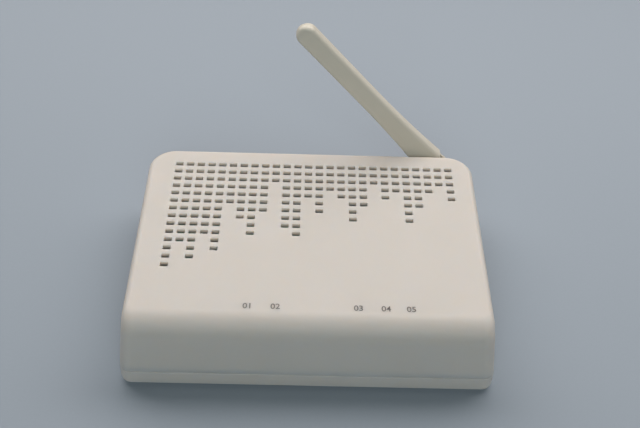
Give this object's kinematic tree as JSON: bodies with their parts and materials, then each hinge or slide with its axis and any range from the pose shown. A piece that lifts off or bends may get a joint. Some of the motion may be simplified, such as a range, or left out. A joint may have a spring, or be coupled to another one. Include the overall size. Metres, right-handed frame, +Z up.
{
  "type": "wireless modem router",
  "caption": "Flat white plastic wireless modem with a round-nosed slotted cover, rear port panel, circuit board inside and a leaning swivel antenna.",
  "frame": {"origin": "on the desk under the middle of the whole object, antenna included", "axes": "+Z up, -Y towards the front with the round nose, +Y towards the port panel, +X to the right seen from the front"},
  "size_m": [0.156, 0.1204, 0.1035],
  "materials": {
    "cover_white": "satin moulded white plastic with a fine spark texture",
    "antenna_white": "satin moulded off-white plastic",
    "black_plastic": "moulded black plastic",
    "grey_button": "moulded grey plastic",
    "foot_rubber": "matt rubber",
    "plated_steel": "plated steel",
    "gold_contact": "gold-plated spring wire",
    "board_green": "green solder mask on glass fibre",
    "chip_black": "black moulded packages",
    "bare_aluminium": "bare aluminium",
    "ferrite": "dark ferrite and tape",
    "clear_guide": "clear moulded light guide",
    "lamp_clear": "lamp lens"
  },
  "bodies": {
    "housing": {"top_cover": "cover_white", "bottom_tray": "cover_white", "rear_panel": "cover_white", "foot_front_left": "foot_rubber", "foot_front_right": "foot_rubber", "foot_rear_left": "foot_rubber", "foot_rear_right": "foot_rubber", "cover_screw_front_left": "plated_steel", "cover_screw_front_right": "plated_steel", "cover_screw_rear_left": "plated_steel", "cover_screw_rear_right": "plated_steel", "main_board": "board_green", "board_screw_1": "plated_steel", "board_screw_2": "plated_steel", "board_screw_3": "plated_steel", "board_screw_4": "plated_steel", "dsl_socket": "black_plastic", "dsl_socket_contacts": "gold_contact", "lan_socket_1": "black_plastic", "lan_socket_1_contacts": "gold_contact", "lan_socket_2": "black_plastic", "lan_socket_2_contacts": "gold_contact", "power_inlet": "black_plastic", "power_inlet_pin": "plated_steel", "power_switch": "black_plastic", "reset_switch": "black_plastic", "processor": "chip_black", "heat_sink": "bare_aluminium", "memory_chip": "chip_black", "flash_chip": "chip_black", "line_driver": "chip_black", "wireless_shield": "plated_steel", "crystal": "plated_steel", "line_transformer": "ferrite", "network_transformer": "ferrite", "power_coil": "ferrite", "capacitor_1": "bare_aluminium", "capacitor_2": "bare_aluminium", "capacitor_3": "bare_aluminium", "lamp_1": "lamp_clear", "lamp_2": "lamp_clear", "lamp_3": "lamp_clear", "lamp_4": "lamp_clear", "lamp_5": "lamp_clear", "light_guide": "clear_guide", "antenna_lead": "black_plastic", "lead_ferrule": "plated_steel"},
    "power_button": {"power_button": "grey_button"},
    "reset_button": {"reset_button": "grey_button"},
    "antenna_swivel": {"antenna_swivel": "antenna_white", "antenna_clip": "plated_steel"},
    "antenna_paddle": {"antenna_sleeve": "antenna_white", "antenna_knuckle": "antenna_white", "antenna_pin": "plated_steel", "antenna_element": "board_green"}
  },
  "joints": [
    {"name": "power_button_push", "type": "slide", "parent": "housing", "child": "power_button", "axis": [0, -1, 0], "range_m": [0, 0.0025], "stiffness_N_per_m": 150},
    {"name": "reset_button_push", "type": "slide", "parent": "housing", "child": "reset_button", "axis": [0, -1, 0], "range_m": [0, 0.0005], "stiffness_N_per_m": 300},
    {"name": "antenna_turn", "type": "hinge", "parent": "housing", "child": "antenna_swivel", "pos_m": [0.0611, 0.05625, 0.0249], "axis": [0, 1, 0], "range_deg": [-49, 131]},
    {"name": "antenna_fold", "type": "hinge", "parent": "antenna_swivel", "child": "antenna_paddle", "pos_m": [0.0611, 0.05625, 0.0249], "axis": [-0.7547, 0, -0.6561], "range_deg": [0, 90]}
  ]
}
